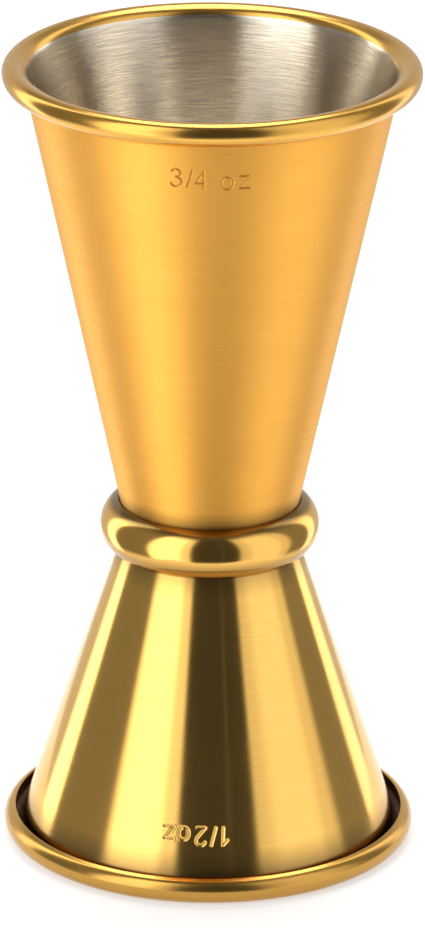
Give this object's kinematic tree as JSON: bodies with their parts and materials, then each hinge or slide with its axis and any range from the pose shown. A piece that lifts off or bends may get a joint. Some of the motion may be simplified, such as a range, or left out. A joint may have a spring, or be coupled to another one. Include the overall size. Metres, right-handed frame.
{
  "type": "double bar jigger",
  "caption": "Double bar jigger: conical measuring cups joined base to base in a polished collar ring, gold outside and bare steel inside, with rolled rims and engraved capacity marks.",
  "frame": {"origin": "centre of the resting plane, under the small cup's rim", "axes": "+Z is the common axis of both cups, from the small cup to the large one; the capacity marks face -Y"},
  "size_m": [0.0382, 0.0382, 0.0751],
  "materials": {
    "gold_satin": "satin",
    "gold_polished": "polished",
    "bare_steel": "satin"
  },
  "bodies": {
    "root": {"large_cup": "gold_satin", "small_cup": "gold_polished", "collar_ring": "gold_polished", "spot_weld": "bare_steel"}
  },
  "joints": []
}
